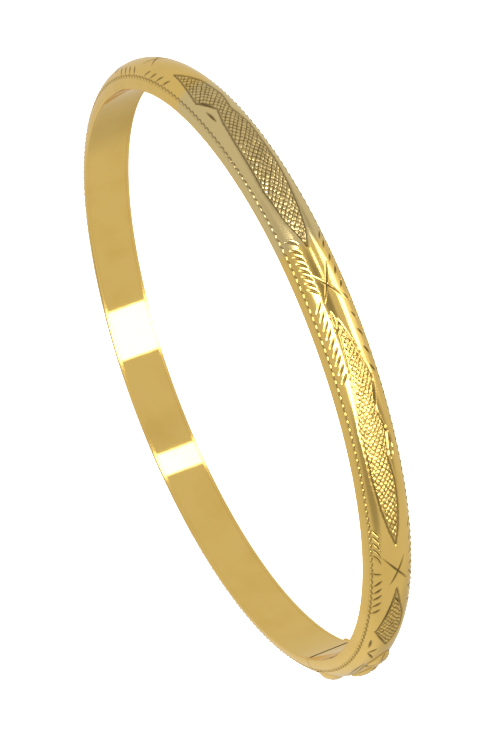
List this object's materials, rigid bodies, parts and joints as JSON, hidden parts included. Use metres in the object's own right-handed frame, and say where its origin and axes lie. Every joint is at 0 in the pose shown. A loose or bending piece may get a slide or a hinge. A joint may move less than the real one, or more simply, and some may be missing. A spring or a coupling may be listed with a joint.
{
  "type": "hinged bangle bracelet",
  "caption": "Hollow half-round hinged bangle with an engraved outside, a plain inside, a sprung tongue clasp with a thumb piece and a figure-of-eight safety catch.",
  "frame": {"origin": "on the axis of the wrist opening, at the middle of the band's width", "axes": "+Z along the axis of the wrist opening, away from the rim with the safety catch; -X towards the hinge; the clasp is 7 degrees clockwise from +X"},
  "size_m": [0.0632, 0.0628, 0.0058],
  "materials": {
    "engraved_gold": "polished gold, hand engraved",
    "polished_gold": "plain polished gold, fine wear scratches",
    "plain_gold": "filed and polished gold",
    "spring_gold": "rolled hard gold alloy, satin",
    "wire_gold": "drawn gold wire, polished",
    "pin_metal": "hard gold wire, ends filed flush"
  },
  "bodies": {
    "near_half": {"near_shell": "engraved_gold", "near_liner": "polished_gold", "near_hinge_block": "plain_gold", "near_knuckles": "plain_gold", "hinge_pin": "pin_metal", "catch_plate": "plain_gold", "catch_guides": "plain_gold", "safety_staple": "wire_gold"},
    "far_half": {"far_shell": "engraved_gold", "far_liner": "polished_gold", "far_hinge_block": "plain_gold", "far_knuckle": "plain_gold", "tongue_plate": "plain_gold", "tongue_base": "spring_gold", "safety_knob": "wire_gold"},
    "tongue_leaf": {"tongue_spring": "spring_gold", "thumb_piece": "plain_gold"},
    "safety": {"figure_eight": "wire_gold"}
  },
  "joints": [
    {"name": "bangle_open", "type": "hinge", "parent": "near_half", "child": "far_half", "pos_m": [-0.0306, 0, 0], "axis": [0, 0, -1], "range_deg": [0, 60]},
    {"name": "thumb_press", "type": "hinge", "parent": "far_half", "child": "tongue_leaf", "pos_m": [0.03006, 0.00088, 0], "axis": [0, 0, -1], "range_deg": [0, 5.5], "stiffness_Nm_per_rad": 0.01},
    {"name": "safety_swing", "type": "hinge", "parent": "near_half", "child": "safety", "pos_m": [0.03025, -0.00079, -0.0027], "axis": [0.9925, -0.1219, 0], "range_deg": [0, 140]}
  ]
}
